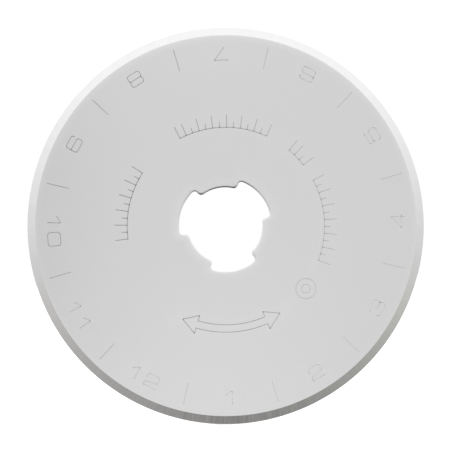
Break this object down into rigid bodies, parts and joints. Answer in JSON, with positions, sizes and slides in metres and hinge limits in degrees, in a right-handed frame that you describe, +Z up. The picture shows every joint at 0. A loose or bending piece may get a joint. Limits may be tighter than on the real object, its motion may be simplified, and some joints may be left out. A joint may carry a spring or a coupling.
{
  "type": "rotary cutter blade",
  "caption": "Round steel blade for a hand-held fabric cutter, ground to an edge all round, with a three-lobed arbor hole and a numbered dial engraved on one face.",
  "frame": {"origin": "on the axis of the arbor hole, at mid-thickness", "axes": "The blade stands upright like a wheel. +Y is its axis; the marked face looks along -Y and the plain back along +Y. +Z is up, through the numeral 7, and +X is to the right as the marked face is seen, through the numeral 4."},
  "size_m": [0.045, 0.0004, 0.045],
  "materials": {
    "blade_steel": "Hardened tool steel with a fine satin face and a finely ground ring at the edge; the engraved lines are slightly darker."
  },
  "bodies": {
    "root": {"blade": "blade_steel"}
  },
  "joints": []
}
